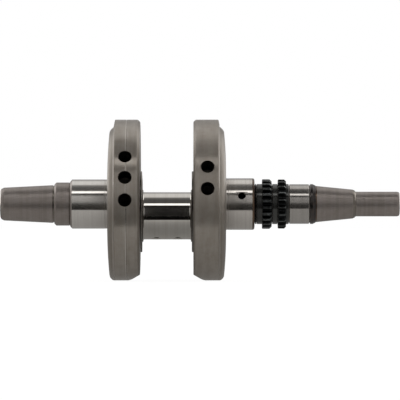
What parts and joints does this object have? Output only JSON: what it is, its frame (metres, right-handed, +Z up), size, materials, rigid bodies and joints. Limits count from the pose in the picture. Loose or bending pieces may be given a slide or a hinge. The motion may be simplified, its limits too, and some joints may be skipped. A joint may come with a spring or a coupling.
{
  "type": "crankshaft",
  "caption": "Forged engine crankshaft with full-circle webs, a wide crankpin, tapered ends and a pressed-on stack of chain sprockets.",
  "frame": {"origin": "on the main bearing axis, half way between the two webs", "axes": "+X along the shaft towards the flywheel end, +Z up, counterweights leaning 19 degrees up from -Y"},
  "size_m": [0.335, 0.1346, 0.1346],
  "materials": {
    "forged_steel": "turned and ground steel: satin webs and tapers, polished journals",
    "black_oxide": "black oxide",
    "ground_steel": "ground and polished",
    "tinted_steel": "brown heat tint",
    "plug_steel": "plain machined steel"
  },
  "bodies": {
    "root": {"crankshaft_forging": "forged_steel", "seat_ring": "black_oxide", "timing_sprocket": "black_oxide", "sprocket_spacer": "black_oxide", "pump_sprocket": "black_oxide", "starter_bearing_race": "ground_steel", "shrink_collar": "tinted_steel", "flywheel_key": "plug_steel", "crankpin_plug_left": "plug_steel", "crankpin_plug_right": "plug_steel", "web_gallery_plug_left": "plug_steel", "web_gallery_plug_right": "plug_steel"}
  },
  "joints": []
}
